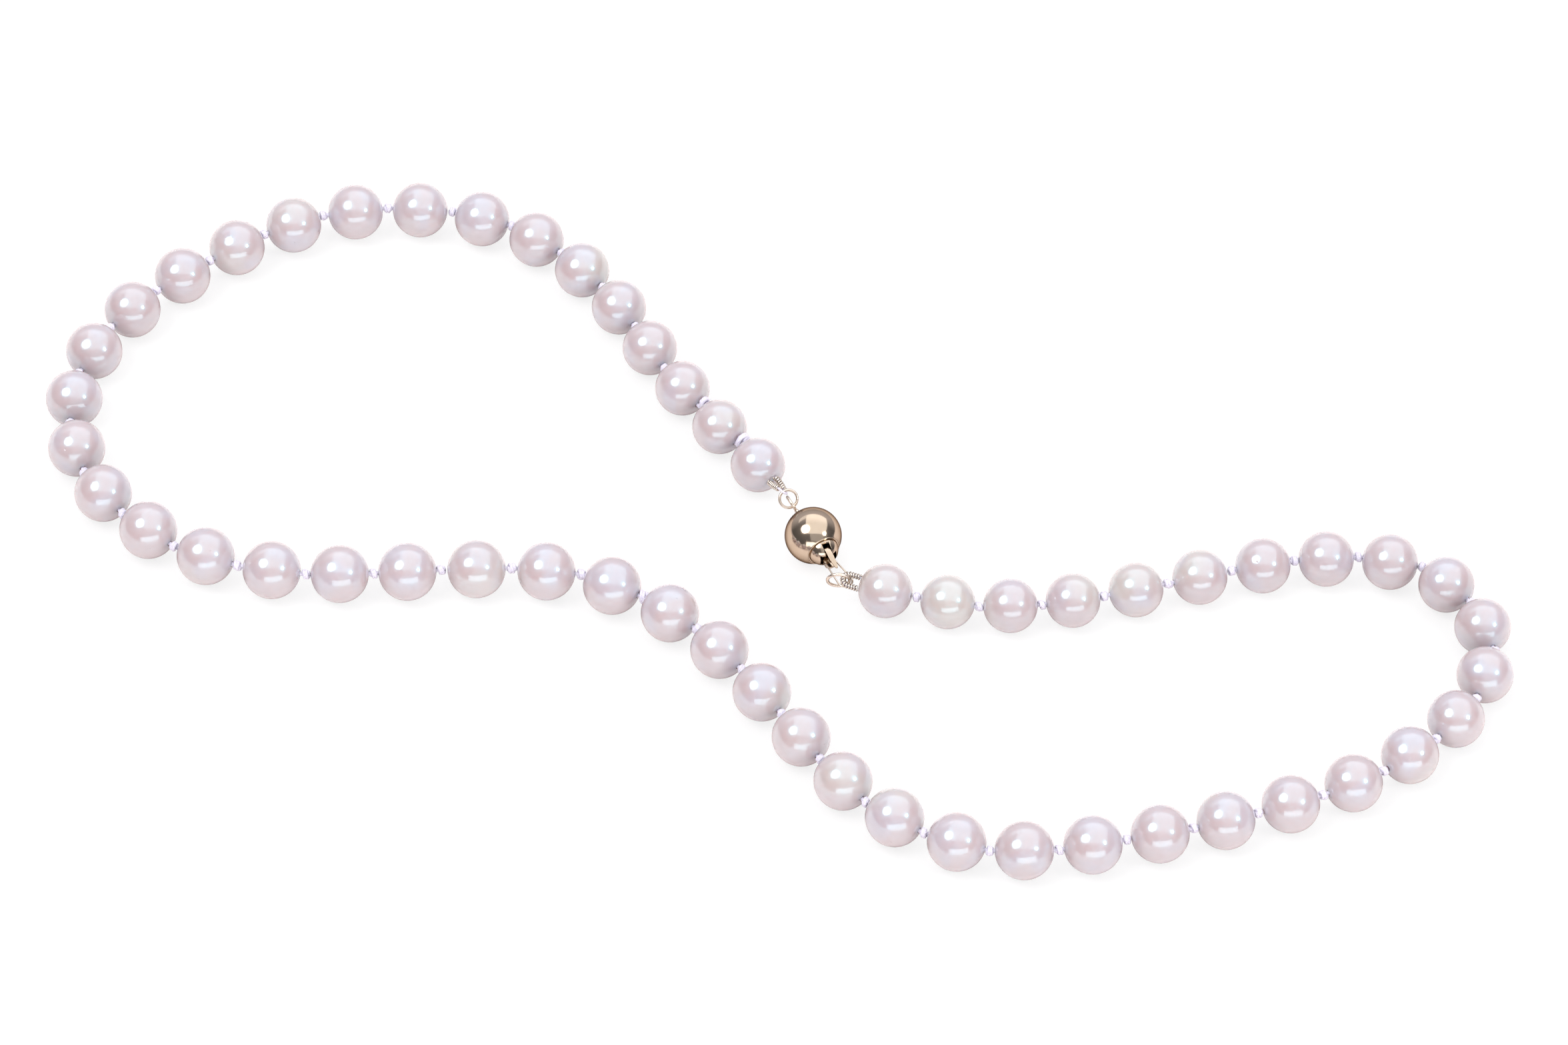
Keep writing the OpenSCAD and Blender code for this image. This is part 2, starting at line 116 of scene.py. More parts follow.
class Finish:
    """A real material. Each finish names itself and wires its own surface."""

    name: str

    def wire(self, tree: bpy.types.NodeTree, shader: bpy.types.Node) -> None:
        """Adds the finish's nodes in front of its shader."""
        raise NotImplementedError

    def material(self) -> bpy.types.Material:
        """Makes the material, once.

        Returns:
            The Blender material of this finish.
        """
        made = bpy.data.materials.get(self.name)
        if made:
            return made
        made = bpy.data.materials.new(self.name)
        made.use_nodes = True
        tree = made.node_tree
        tree.nodes.clear()
        shader = add_node(tree, "ShaderNodeBsdfPrincipled")
        add_node(tree, "ShaderNodeOutputMaterial", links={"Surface": shader.outputs["BSDF"]})
        self.wire(tree, shader)
        return made


@dataclass(frozen=True)
class Nacre(Finish):
    """Cultured nacre, tumbled and polished: thin aragonite layers that lie like a clear skin.

    The skin gives sharp reflections over a milky body, which is rose on most pearls and cream
    or lavender on others.
    """

    name: str = "cultured_nacre_polished"
    rose: str = "#C9B6B8"
    cream: str = "#CCC0BC"
    lavender: str = "#C6BCC6"
    overtone: str = "#78E6F8"      # the skin's own reflections lean to blue-green
    pearl_mm: float = 17.0         # the body's tone drifts from pearl to pearl
    patch_mm: float = 4.5          # and a little over each one
    swell_mm: float = 2.6          # low swells that bend the reflections
    pit_mm: float = 3.4            # mean distance between pits, of which one or two meet a pearl
    terrace_mm: float = 0.22       # growth terraces; real ones are 0.05 mm, too fine to show
    index: float = 1.66            # refractive index, at the upper end of what nacre has
    depth_mm: float = 2.2          # how far light wanders under the skin

    def wire(self, tree: bpy.types.NodeTree, shader: bpy.types.Node) -> None:
        """Milky body with a drifting tone, low swells, a few pits and fine terraces.

        Args:
            tree: The material's node tree.
            shader: The shader that it ends in.
        """
        place = add_node(tree, "ShaderNodeTexCoord").outputs["Object"]
        drift = add_node(tree, "ShaderNodeTexNoise",
                         {"Scale": per_mm(self.pearl_mm), "Detail": 1.0}, {"Vector": place})
        patch = add_node(tree, "ShaderNodeTexNoise",
                         {"Scale": per_mm(self.patch_mm), "Detail": 1.0, "Distortion": 0.3},
                         {"Vector": place})
        to_cream = add_node(tree, "ShaderNodeMapRange",
                            {"From Min": 0.56, "From Max": 0.74,
                             "interpolation_type": "SMOOTHSTEP"},
                            {"Value": drift.outputs["Fac"]})
        to_lavender = add_node(tree, "ShaderNodeMapRange",
                               {"From Min": 0.45, "From Max": 0.7, "To Max": 0.6,
                                "interpolation_type": "SMOOTHSTEP"},
                               {"Value": patch.outputs["Fac"]})
        body = add_node(tree, "ShaderNodeMix",
                        {"data_type": "RGBA", "A_Color": linear(self.rose),
                         "B_Color": linear(self.cream)},
                        {"Factor_Float": to_cream.outputs["Result"]})
        toned = add_node(tree, "ShaderNodeMix",
                         {"data_type": "RGBA", "B_Color": linear(self.lavender)},
                         {"Factor_Float": to_lavender.outputs["Result"],
                          "A_Color": body.outputs["Result"]})
        swell = add_node(tree, "ShaderNodeTexNoise",
                         {"Scale": per_mm(self.swell_mm), "Detail": 0.0}, {"Vector": place})
        terrace = add_node(tree, "ShaderNodeTexNoise",
                           {"Scale": per_mm(self.terrace_mm), "Detail": 2.0, "Distortion": 1.5},
                           {"Vector": place})
        pit = add_node(tree, "ShaderNodeTexVoronoi", {"Scale": per_mm(self.pit_mm)},
                       {"Vector": place})
        dimple = add_node(tree, "ShaderNodeMapRange",
                          {"From Min": 0.02, "From Max": 0.055,
                           "interpolation_type": "SMOOTHSTEP"},
                          {"Value": pit.outputs["Distance"]})
        pitted = add_node(tree, "ShaderNodeBump", {"Strength": 1.0, "Distance": 0.03 * MM},
                          {"Height": dimple.outputs["Result"]})
        low = add_node(tree, "ShaderNodeBump", {"Strength": 1.0, "Distance": 0.045 * MM},
                       {"Height": swell.outputs["Fac"], "Normal": pitted.outputs["Normal"]})
        fine = add_node(tree, "ShaderNodeBump", {"Strength": 0.6, "Distance": 0.0012 * MM},
                        {"Height": terrace.outputs["Fac"], "Normal": low.outputs["Normal"]})
        for name, value in (("Roughness", 0.26), ("IOR", self.index), ("Specular IOR Level", 1.0),
                            ("Specular Tint", linear(self.overtone)), ("Subsurface Weight", 1.0),
                            ("Subsurface Radius", (1.0, 0.8, 0.8)),
                            ("Subsurface Scale", self.depth_mm * MM), ("Coat Weight", 1.0),
                            ("Coat Roughness", 0.03), ("Coat IOR", self.index)):
            shader.inputs[name].default_value = value
        tree.links.new(toned.outputs["Result"], shader.inputs["Base Color"])
        tree.links.new(fine.outputs["Normal"], shader.inputs["Normal"])
        tree.links.new(low.outputs["Normal"], shader.inputs["Coat Normal"])


@dataclass(frozen=True)
class FilamentSilk(Finish):
    """Filament silk, reeled, dyed pale lavender and plied: a soft gleam along its turns."""

    name: str = "filament_silk_plied"
    high: str = "#F4F1FA"
    # painted shade: the tone of the grooves between filaments
    low: str = "#C4BBD9"
    gleam: str = "#F2ECFF"         # tint of the sheen
    fibre_mm: float = 0.07         # filaments are 0.01 mm, drawn as coarse as they can show

    def wire(self, tree: bpy.types.NodeTree, shader: bpy.types.Node) -> None:
        """Lavender white, with painted shade darker in the grooves between filaments, and sheen.

        Args:
            tree: The material's node tree.
            shader: The shader that it ends in.
        """
        place = add_node(tree, "ShaderNodeTexCoord").outputs["Object"]
        fibre = add_node(tree, "ShaderNodeTexNoise",
                         {"Scale": per_mm(self.fibre_mm), "Detail": 3.0}, {"Vector": place})
        # painted shade: the fibre noise's low points, which are the bump's grooves, take the darker tone
        shade = add_node(tree, "ShaderNodeMapRange", {"From Min": 0.35, "From Max": 0.6},
                         {"Value": fibre.outputs["Fac"]})
        tone = add_node(tree, "ShaderNodeMix",
                        {"data_type": "RGBA", "A_Color": linear(self.low),
                         "B_Color": linear(self.high)},
                        {"Factor_Float": shade.outputs["Result"]})
        bump = add_node(tree, "ShaderNodeBump", {"Strength": 0.5, "Distance": 0.02 * MM},
                        {"Height": fibre.outputs["Fac"]})
        for name, value in (("Roughness", 0.42), ("IOR", 1.54), ("Sheen Weight", 0.5),
                            ("Sheen Roughness", 0.35), ("Sheen Tint", linear(self.gleam))):
            shader.inputs[name].default_value = value
        tree.links.new(tone.outputs["Result"], shader.inputs["Base Color"])
        tree.links.new(bump.outputs["Normal"], shader.inputs["Normal"])


@dataclass(frozen=True)
class GoldPlate(Finish):
    """Champagne gold plated on polished brass.

    Polishing leaves the faces mirror bright with faint, wandering wheel marks.
    """

    name: str = "champagne_gold_plate_polished"
    gold: str = "#CCBBA8"
    worn: str = "#C1AE98"
    edge: str = "#7C7372"          # tone at glancing angles
    roughness: float = 0.1
    cloud_mm: float = 1.4          # clouds left by the polishing mop
    mark_mm: float = 0.12          # wheel marks; real ones are 0.02 mm, too fine to show

    def wire(self, tree: bpy.types.NodeTree, shader: bpy.types.Node) -> None:
        """Mirror-bright gold with slight changes of tone and gloss.

        Args:
            tree: The material's node tree.
            shader: The shader that it ends in.
        """
        place = add_node(tree, "ShaderNodeTexCoord").outputs["Object"]
        cloud = add_node(tree, "ShaderNodeTexNoise",
                         {"Scale": per_mm(self.cloud_mm), "Detail": 3.0}, {"Vector": place})
        marks = add_node(tree, "ShaderNodeTexNoise",
                         {"Scale": per_mm(self.mark_mm), "Detail": 2.0, "Distortion": 2.0},
                         {"Vector": place})
        tone = add_node(tree, "ShaderNodeMix",
                        {"data_type": "RGBA", "A_Color": linear(self.gold),
                         "B_Color": linear(self.worn)},
                        {"Factor_Float": cloud.outputs["Fac"]})
        gloss = add_node(tree, "ShaderNodeMapRange",
                         {"To Min": self.roughness * 0.6, "To Max": self.roughness * 1.8},
                         {"Value": cloud.outputs["Fac"]})
        bump = add_node(tree, "ShaderNodeBump", {"Strength": 0.4, "Distance": 0.002 * MM},
                        {"Height": marks.outputs["Fac"]})
        shader.inputs["Metallic"].default_value = 1.0
        shader.inputs["Specular Tint"].default_value = linear(self.edge)
        tree.links.new(tone.outputs["Result"], shader.inputs["Base Color"])
        tree.links.new(gloss.outputs["Result"], shader.inputs["Roughness"])
        tree.links.new(bump.outputs["Normal"], shader.inputs["Normal"])


@dataclass(frozen=True)
class GoldWirePaintedBright(GoldPlate):
    """Drawn wire under the same plate: it is tumbled, so it gleams softly; its paler colour is painted brightness
    that stands in for its brighter reflections.
    """

    name: str = "champagne_gold_wire_tumbled_painted_bright"
    # painted brightness: paler than the plate, for the wires' brighter reflections
    gold: str = "#EBE0D3"
    worn: str = "#D9CBBC"
    roughness: float = 0.22


@dataclass(frozen=True)
class BullionGilt(GoldPlate):
    """Hair-fine brass wire, drawn and lightly gilt: paler and silkier than the clasp."""

    name: str = "gilt_bullion_wire_drawn"
    gold: str = "#EDE6DD"
    worn: str = "#C6BAAE"
    roughness: float = 0.2


# --- Meshes ------------------------------------------------------------------------------------


def frames_along(points: np.ndarray) -> tuple[np.ndarray, np.ndarray, np.ndarray]:
    """Frames that turn as little as possible along a path.

    Args:
        points: The path, one row a point.

    Returns:
        Tangents, and two vectors across the path at each point.
    """
    tangents = np.gradient(points, axis=0)
    tangents /= np.linalg.norm(tangents, axis=1)[:, None]
    start = np.array([0.0, 0.0, 1.0]) if abs(tangents[0][2]) < 0.9 else np.array([1.0, 0.0, 0.0])
    across = [unit(start - tangents[0] * (start @ tangents[0]))]
    for tangent in tangents[1:]:
        across.append(unit(across[-1] - tangent * (across[-1] @ tangent)))
    side = np.array(across)
    return tangents, side, np.cross(tangents, side)


@dataclass
class Draft:
    """A mesh that grows tube by tube. Lengths are in millimetres until it is built."""

    verts: list[np.ndarray] = field(default_factory=list)
    faces: list[tuple[int, ...]] = field(default_factory=list)
    count: int = 0

    def tube(self, points: np.ndarray, radii: np.ndarray | float, sides: int = 12,
             plies: int = 0, lay_mm: float = 1.0, hollow: float = 0.22) -> None:
        """Adds a closed tube along a path.

        Args:
            points: The path.
            radii: One radius, or one for each point.
            sides: Faces round the tube.
            plies: Number of plies that show as twisted lobes; 0 is a round wire.
            lay_mm: Length in which the plies turn once.
            hollow: Depth of the grooves between plies, as a share of the radius.
        """
        _, side, other = frames_along(points)
        run = np.r_[0.0, np.cumsum(np.linalg.norm(np.diff(points, axis=0), axis=1))]
        radius = np.broadcast_to(np.asarray(radii, float), (len(points),))
        angles = np.linspace(0, 2 * math.pi, sides, endpoint=False)
        rings = []
        for k, point in enumerate(points):
            reach = np.full(sides, radius[k])
            if plies:
                turn = 2 * math.pi * run[k] / lay_mm
                lobe = np.abs(np.cos(plies / 2 * (angles - turn)))
                reach = radius[k] * (1 - hollow * (1 - lobe))
            rings.append(point + reach[:, None] * (np.cos(angles)[:, None] * side[k]
                                                   + np.sin(angles)[:, None] * other[k]))
        first = self.count
        self.verts.append(np.concatenate(rings + [points[:1], points[-1:]]))
        last = first + (len(points) - 1) * sides
        for k in range(len(points) - 1):
            a, b = first + k * sides, first + (k + 1) * sides
            for j in range(sides):
                n = (j + 1) % sides
                self.faces.append((a + j, a + n, b + n, b + j))
        head, tail = first + len(points) * sides, first + len(points) * sides + 1
        for j in range(sides):
            n = (j + 1) % sides
            self.faces.append((head, first + n, first + j))
            self.faces.append((tail, last + j, last + n))
        self.count += len(self.verts[-1])

    def build(self, name: str) -> bpy.types.Object:
        """Makes the object, smooth and in metres.

        Args:
            name: Name of the piece.

        Returns:
            The new object, linked to the scene.
        """
        mesh = bpy.data.meshes.new(name)
        mesh.from_pydata((np.concatenate(self.verts) * MM).tolist(), [], self.faces)
        mesh.polygons.foreach_set("use_smooth", [True] * len(mesh.polygons))
        mesh.update()
        piece = bpy.data.objects.new(name, mesh)
        bpy.context.scene.collection.objects.link(piece)
        return piece


def settle(piece: bpy.types.Object, body: str, finish: Finish,
           replaced: tuple[str, ...] = ()) -> None:
    """Dresses a piece and ties it to its body.

    Args:
        piece: The finished object.
        body: The CAD body that it moves with.
        finish: Its finish.
        replaced: CAD nodes that it stands for.
    """
    piece.data.materials.clear()
    piece.data.materials.append(finish.material())
    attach(piece, body)
    if replaced:
        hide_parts(*replaced)
    LOG.info("%s rides on %s, %d faces", piece.name, body, len(piece.data.polygons))


def dress_cad(node: str, finish: Finish) -> None:
    """Gives a CAD node that stays in view its finish.

    Args:
        node: Name of the node.
        finish: Its finish.
    """
    piece = frame["nodes"][node]
    if not piece.material_slots:
        piece.data.materials.append(finish.material())
    for held in piece.material_slots:
        held.material = finish.material()
    LOG.info("%s keeps its CAD shape, in %s", node, finish.name)


# --- The strand --------------------------------------------------------------------------------


def pearls_in(node: str) -> list[tuple[np.ndarray, float]]:
    """Centres and radii of the pearls in a CAD node.

    Args:
        node: Name of the node.

    Returns:
        One centre (in mm) and radius for each pearl, in no set order.
    """
    work = bmesh.new()
    work.from_mesh(frame["nodes"][node].data)
    bmesh.ops.remove_doubles(work, verts=work.verts, dist=1e-7)
    seen: set[int] = set()
    found = []
    for start in work.verts:
        if start.index in seen:
            continue
        stack, cloud = [start], []
        seen.add(start.index)
        while stack:
            vert = stack.pop()
            cloud.append(tuple(vert.co))
            for edge in vert.link_edges:
                near = edge.other_vert(vert)
                if near.index not in seen:
                    seen.add(near.index)
                    stack.append(near)
        points = np.array(cloud) / MM
        terms = np.c_[2 * points, np.ones(len(points))]
        centre = np.linalg.lstsq(terms, (points ** 2).sum(1), rcond=None)[0][:3]
        found.append((centre, float(np.linalg.norm(points - centre, axis=1).max())))
    work.free()
    return found


@dataclass
class Section:
    """One stretch of the strand that moves as a whole."""

    first: int
    last: int

    @property
    def tag(self) -> str:
        """Numbers of its pearls, as node names write them."""
        one = self.first == self.last
        return f"{self.first:02d}" if one else f"{self.first:02d}_{self.last:02d}"

    @property
    def pearl_node(self) -> str:
        """Name of the CAD node with its pearls."""
        return ("pearl_" if self.first == self.last else "pearls_") + self.tag

    @property
    def silk_node(self) -> str:
        """Name of the CAD node with its silk."""
        return "silk_" + self.tag

    @property
    def body(self) -> str:
        """Name of the CAD body that it belongs to."""
        return next(b for b, members in frame["record"]["behaviour"]["bodies"].items()
                    if self.silk_node in members)


@dataclass(frozen=True)
class Wind:
    """One length of silk that winds about the thread in a knot."""

    turns: float
    points: int
    reach: float                   # its length along the thread, as a share of the knot's
    lift: float = 0.0              # how far it lies over the inner turns, in mm
    lead: float = 0.0              # where it starts, in radians after the innermost
    thin: float = 1.0              # its radius, as a share of the others'
    sides: int = 10
    against: bool = False          # it crosses the others


@dataclass
class Strand:
    """The pearls and the knotted silk that they are strung on. Sizes are in millimetres."""

    ends: tuple[int, ...] = (5, 8, 10, 12, 19, 21, 23, 25, 27, 31, 35, 37, 39, 44, 47, 49, 52, 53)
    held: int = 27                 # last pearl of the section that the others hang on
    thread_r: float = 0.28
    plies: int = 3
    ply_lay: float = 1.7           # length in which the plies turn once
    coarse_step: float = 0.35      # step along the thread, about five to a turn
    knot_r: float = 0.65
    knot_lay: float = 1.1          # the silk is twisted harder in a knot
    knot_hollow: float = 0.16      # and its plies stand out less
    turn_r: float = 0.235          # radius of the silk where it turns in a knot
    clear: float = 0.05
    tuck: float = 0.3              # a section's thread starts this deep in its first pearl
    slipped: tuple[int, ...] = (1, 2)
    slip: float = 0.8              # how far these knots have slipped to one side
    slip_way: tuple[float, float] = (0.8, 0.6)       # sideways and up
    uneven: float = 0.06           # the silk's radius differs by this share from knot to knot
    right_handed: float = 0.8      # share of knots that wind like a right-hand screw
    dive: float = 0.16             # share of a wind's length in which it dives into the thread
    dive_curve: float = 0.8        # below 1 it stays out for longer
    lean: float = 0.1              # how far a turn leans along, as a share of the knot's length
    frays: int = 9
    fray_r: float = 0.045
    fray_taper: tuple[float, float] = (1.2, 0.5)     # of that radius, from root to tip
    fray_span: tuple[float, float] = (0.85, 1.2)     # shortest and longest, by the knot's radius
    fray_bow: float = 0.3          # how far an end leans and bows, as a share of its length
    fray_points: int = 6
    end_gap: float = 0.65          # thread left out before the first pearl and after the last
    heavy: dict[int, float] = field(default_factory=lambda: {
        1: 1.65, 2: 1.3, 24: 1.08, 25: 1.12, 26: 1.3, 27: 1.12})
    frayed_from: float = 1.2       # a knot this much heavier than the rest shows frayed ends
    winds: tuple[Wind, ...] = (Wind(2.35, 44, 0.62, sides=12),
                               Wind(0.7, 20, 0.7, lift=0.03, lead=2.2, thin=0.8, against=True))
    cover: tuple[Wind, ...] = (Wind(1.4, 30, 0.8, lift=0.06, lead=1.1),)
    seed: int = 53
    nacre: Nacre = Nacre()
    silk: FilamentSilk = FilamentSilk()

    def __post_init__(self) -> None:
        """Reads the pearls from the CAD model and works out where the knots are."""
        starts = (1,) + tuple(e + 1 for e in self.ends[:-1])
        self.sections = [Section(a, b) for a, b in zip(starts, self.ends)]
        self.count = self.ends[-1]
        self.centres: dict[int, np.ndarray] = {}
        self.radii: dict[int, float] = {}
        self.knots = self.hinge_knots()
        for section in self.sections:
            self.number(section)
        self.fill_knots()

    def hinge_knots(self) -> dict[int, np.ndarray]:
        """Finds the knots at which the CAD model bends.

        Returns:
            Their places by number.
        """
        hinges = {j["child"]: np.array(j["pos_m"]) / MM for j in frame["joints"]}
        knots = {}
        for section in self.sections:
            if section.body in hinges:
                near = section.last if section.last < self.held else section.first - 1
                knots[near] = hinges[section.body]
        return knots

    def number(self, section: Section) -> None:
        """Finds which pearl is which, from the knot at the section's hinge onwards.

        Args:
            section: The section whose pearls get their numbers.
        """
        loose = pearls_in(section.pearl_node)
        at = self.knots.get(section.first - 1)
        order = range(section.first, section.last + 1)
        if at is None:
            at, order = self.knots[section.last], range(section.last, section.first - 1, -1)
        for i in order:
            near = min(loose, key=lambda p: float(np.linalg.norm(p[0] - at)))
            loose = [p for p in loose if p is not near]
            self.centres[i], self.radii[i] = near
            at = 2 * near[0] - at

    def fill_knots(self) -> None:
        """Places the other knots, as each pearl lies midway between its two."""
        for section in self.sections:
            for i in range(section.first, section.last):
                if section.first - 1 in self.knots and i not in self.knots:
                    self.knots[i] = 2 * self.centres[i] - self.knots[i - 1]
        for i in range(self.ends[0] - 1, -1, -1):
            self.knots[i] = 2 * self.centres[i + 1] - self.knots[i + 1]
        self.knots[self.count] = 2 * self.centres[self.count] - self.knots[self.count - 1]

    def room(self, m: int) -> float:
        """Length of thread that shows between pearls m and m + 1."""
        here = self.knots[m]
        return float(np.linalg.norm(here - self.centres[m]) - self.radii[m]
                     + np.linalg.norm(self.centres[m + 1] - here) - self.radii[m + 1])

    def thread(self, draft: Draft, section: Section) -> None:
        """Adds the plied thread that runs through a section's pearls.

        Args:
            draft: The mesh to add to.
            section: The section.
        """
        for i in range(section.first, section.last + 1):
            a, b = self.knots[i - 1], self.knots[i]
            along = unit(b - a)
            start = (self.end_gap if i == 1 else
                     self.room(i - 1) / 2 + self.tuck if i == section.first else 0.0)
            stop = self.end_gap if i == self.count else 0.0
            a, b = a + along * start, b - along * stop
            steps = max(4, round(float(np.linalg.norm(b - a)) / self.coarse_step))
            path = a + np.linspace(0, 1, steps)[:, None] * (b - a)
            draft.tube(path, self.thread_r, sides=12, plies=self.plies, lay_mm=self.ply_lay)

    def fray(self, draft: Draft, middle: np.ndarray, axes: tuple[np.ndarray, ...],
             reach: float, rng: random.Random) -> None:
        """Adds the cut ends of silk that stand out of a heavy knot.

        Args:
            draft: The mesh to add to.
            middle: Middle of the knot.
            axes: Directions along the strand, up and to the side.
            reach: How far the ends stand out.
            rng: Draws where each end points.
        """
        along, up, side = axes
        for _ in range(self.frays):
            angle = rng.uniform(0, 2 * math.pi)
            lean = rng.uniform(-self.fray_bow, self.fray_bow)
            out = math.cos(angle) * up + math.sin(angle) * side + lean * along
            bow = rng.uniform(-self.fray_bow, self.fray_bow)
            aside = bow * (math.cos(angle) * side - math.sin(angle) * up)
            share = np.linspace(0, 1, self.fray_points)[:, None]
            length = reach * rng.uniform(*self.fray_span)
            draft.tube(middle + share * length * out + share ** 2 * length * aside,
                       self.fray_r * np.linspace(*self.fray_taper, self.fray_points), sides=6)

    def knot(self, draft: Draft, m: int, rng: random.Random) -> None:
        """Adds knot m: two turns drawn tight, and the silk that crosses over them.

        Args:
            draft: The mesh to add to.
            m: Number of the knot.
            rng: Draws what differs from knot to knot.
        """
        length = self.room(m) - 2 * self.clear
        along = unit(self.knots[m] - self.knots[m - 1])
        up = unit(np.array([0.0, 0.0, 1.0]) - along * along[2])
        side = np.cross(along, up)
        weight = self.heavy.get(m, 1.0)
        outer = self.knot_r * weight
        turn_r = self.turn_r * rng.uniform(1 - self.uneven, 1 + self.uneven)
        slipped = self.slip * (self.slip_way[0] * side + self.slip_way[1] * up)
        middle = self.knots[m] + (slipped if m in self.slipped else 0.0)
        phase = rng.uniform(0, 2 * math.pi)
        hand = 1 if rng.random() < self.right_handed else -1

        def spiral(wind: Wind) -> np.ndarray:
            """Spiral about the thread that dives into it at both ends.

            Args:
                wind: The length of silk that follows it.

            Returns:
                Its points.
            """
            share = np.linspace(0, 1, wind.points)
            swell = np.clip(np.minimum(share, 1 - share) / self.dive, 0, 1)
            radius = (outer - turn_r + wind.lift) * np.sin(swell * math.pi / 2) ** self.dive_curve
            spin = -hand if wind.against else hand
            angle = phase + wind.lead + spin * 2 * math.pi * wind.turns * share
            x = (share - 0.5) * length * wind.reach
            tilt = self.lean * length * np.sin(angle) * swell
            return (middle + (x + tilt)[:, None] * along
                    + (radius * np.cos(angle))[:, None] * up
                    + (radius * np.sin(angle))[:, None] * side)

        frayed = weight > self.frayed_from
        for wind in self.winds + (self.cover if frayed else ()):
            draft.tube(spiral(wind), turn_r * wind.thin, sides=wind.sides, plies=self.plies,
                       lay_mm=self.knot_lay, hollow=self.knot_hollow)
        if frayed:
            self.fray(draft, middle, (along, up, side), outer, rng)

    def build(self) -> None:
        """Dresses the pearls and builds the knotted silk, section by section."""
        rng = random.Random(self.seed)
        for section in self.sections:
            dress_cad(section.pearl_node, self.nacre)
            draft = Draft()
            self.thread(draft, section)
            for m in range(section.first, min(section.last, self.count - 1) + 1):
                self.knot(draft, m, rng)
            piece = draft.build("knotted_silk_" + section.tag)
            settle(piece, section.body, self.silk, (section.silk_node,))


# --- The ends of the strand --------------------------------------------------------------------


@dataclass
class EndLoop:
    """A loop of silk round a ring, guarded by bullion wire. Sizes are in millimetres."""

    tag: str
    body: str
    middle: np.ndarray             # centre of the loop's bend
    pearl: np.ndarray
    pearl_r: float
    roll: float                    # turn of the loop about its own length, in degrees
    bend_r: float
    bare: bool                     # the bend shows bare silk, as the bullion stops at the legs
    twist: float = 0.0             # how far the legs turn from bend to pearl, in degrees
    tube_r: float = 0.41
    wire_r: float = 0.13
    pitch: float = 0.34            # drawn coarser than real, so that single turns still show
    turn_points: int = 14          # points in one turn of the wire
    silk_r: float = 0.16
    silk_lay: float = 1.2
    bare_start: float = 0.42       # from the bend's centre to the bullion on bare legs
    clear: float = 0.03
    step: float = 0.08             # distance between the middle line's points
    silk: FilamentSilk = FilamentSilk()
    bullion: BullionGilt = BullionGilt()

    def axes(self) -> np.ndarray:
        """Directions of the loop.

        Returns:
            Its own axes as rows: towards the pearl, across, and out of its plane.
        """
        way = self.pearl - self.middle
        yaw = math.atan2(way[1], way[0])
        pitch = math.atan2(way[2], math.hypot(way[0], way[1]))
        turn = (Matrix.Rotation(yaw, 3, "Z") @ Matrix.Rotation(-pitch, 3, "Y")
                @ Matrix.Rotation(math.radians(self.roll), 3, "X"))
        return np.array(turn).T

    def leg_length(self) -> float:
        """Length of a leg, from the bend to just short of the pearl."""
        inner = self.bend_r - self.tube_r
        return float(np.linalg.norm(self.pearl - self.middle)
                     - math.sqrt((self.pearl_r + self.clear) ** 2 - inner ** 2))

    def path(self) -> np.ndarray:
        """Middle line of the whole loop, from one leg's end to the other's.

        Returns:
            The points, in the shared frame.
        """
        leg = self.leg_length()
        n_leg = max(3, round(leg / self.step))
        n_bend = max(8, round(math.pi * self.bend_r / self.step))
        down = [(leg * (1 - k / n_leg), self.bend_r) for k in range(n_leg)]
        bend = [(self.bend_r * math.cos(a), self.bend_r * math.sin(a))
                for a in np.linspace(math.pi / 2, 3 * math.pi / 2, n_bend + 1)]
        back = [(x, -y) for x, y in reversed(down)]
        flat = np.array(down + bend + back)
        share = np.clip(flat[:, 0] / leg, 0, 1)
        turn = math.radians(self.twist) * share * share * (3 - 2 * share)
        axes = self.axes()
        across = np.cos(turn)[:, None] * axes[1] + np.sin(turn)[:, None] * axes[2]
        return self.middle + flat[:, :1] * axes[0] + flat[:, 1:] * across

    def coil(self, draft: Draft, line: np.ndarray) -> None:
        """Winds the bullion wire round a middle line.

        Args:
            draft: The mesh to add to.
            line: The middle line, one row a point.
        """
        run = np.r_[0.0, np.cumsum(np.linalg.norm(np.diff(line, axis=0), axis=1))]
        _, side, other = frames_along(line)
        turns = run[-1] / self.pitch
        along = np.linspace(0, run[-1], int(turns * self.turn_points))
        angle = 2 * math.pi * along / self.pitch
        radius = self.tube_r - self.wire_r
        at, u, w = (np.stack([np.interp(along, run, rows[:, c]) for c in range(3)], 1)
                    for rows in (line, side, other))
        draft.tube(at + radius * (np.cos(angle)[:, None] * u + np.sin(angle)[:, None] * w),
                   self.wire_r, sides=9)

    def build(self) -> None:
        """Builds the silk and its bullion."""
        line = self.path()
        silk = Draft()
        silk.tube(line, self.silk_r, sides=12, plies=3, lay_mm=self.silk_lay)
        settle(silk.build("silk_thread_loop_" + self.tag), self.body, self.silk,
               ("silk_loop_" + self.tag,))
        wound = Draft()
        if self.bare:
            local = (line - self.middle) @ self.axes()[0]
            first = np.arange(len(line)) < len(line) / 2
            for leg in (first, ~first):
                self.coil(wound, line[(local >= self.bare_start) & leg])
        else:
            self.coil(wound, line)
        settle(wound.build("bullion_coil_" + self.tag), self.body, self.bullion,
               ("bullion_" + self.tag,))


# --- The clasp ---------------------------------------------------------------------------------


FLAT_DEG = 0.5        # faces that meet at less are one face
SHARP_DEG = 28        # edges that turn more are eased
CREASE_DEG = 32       # edges that turn more still shade as edges


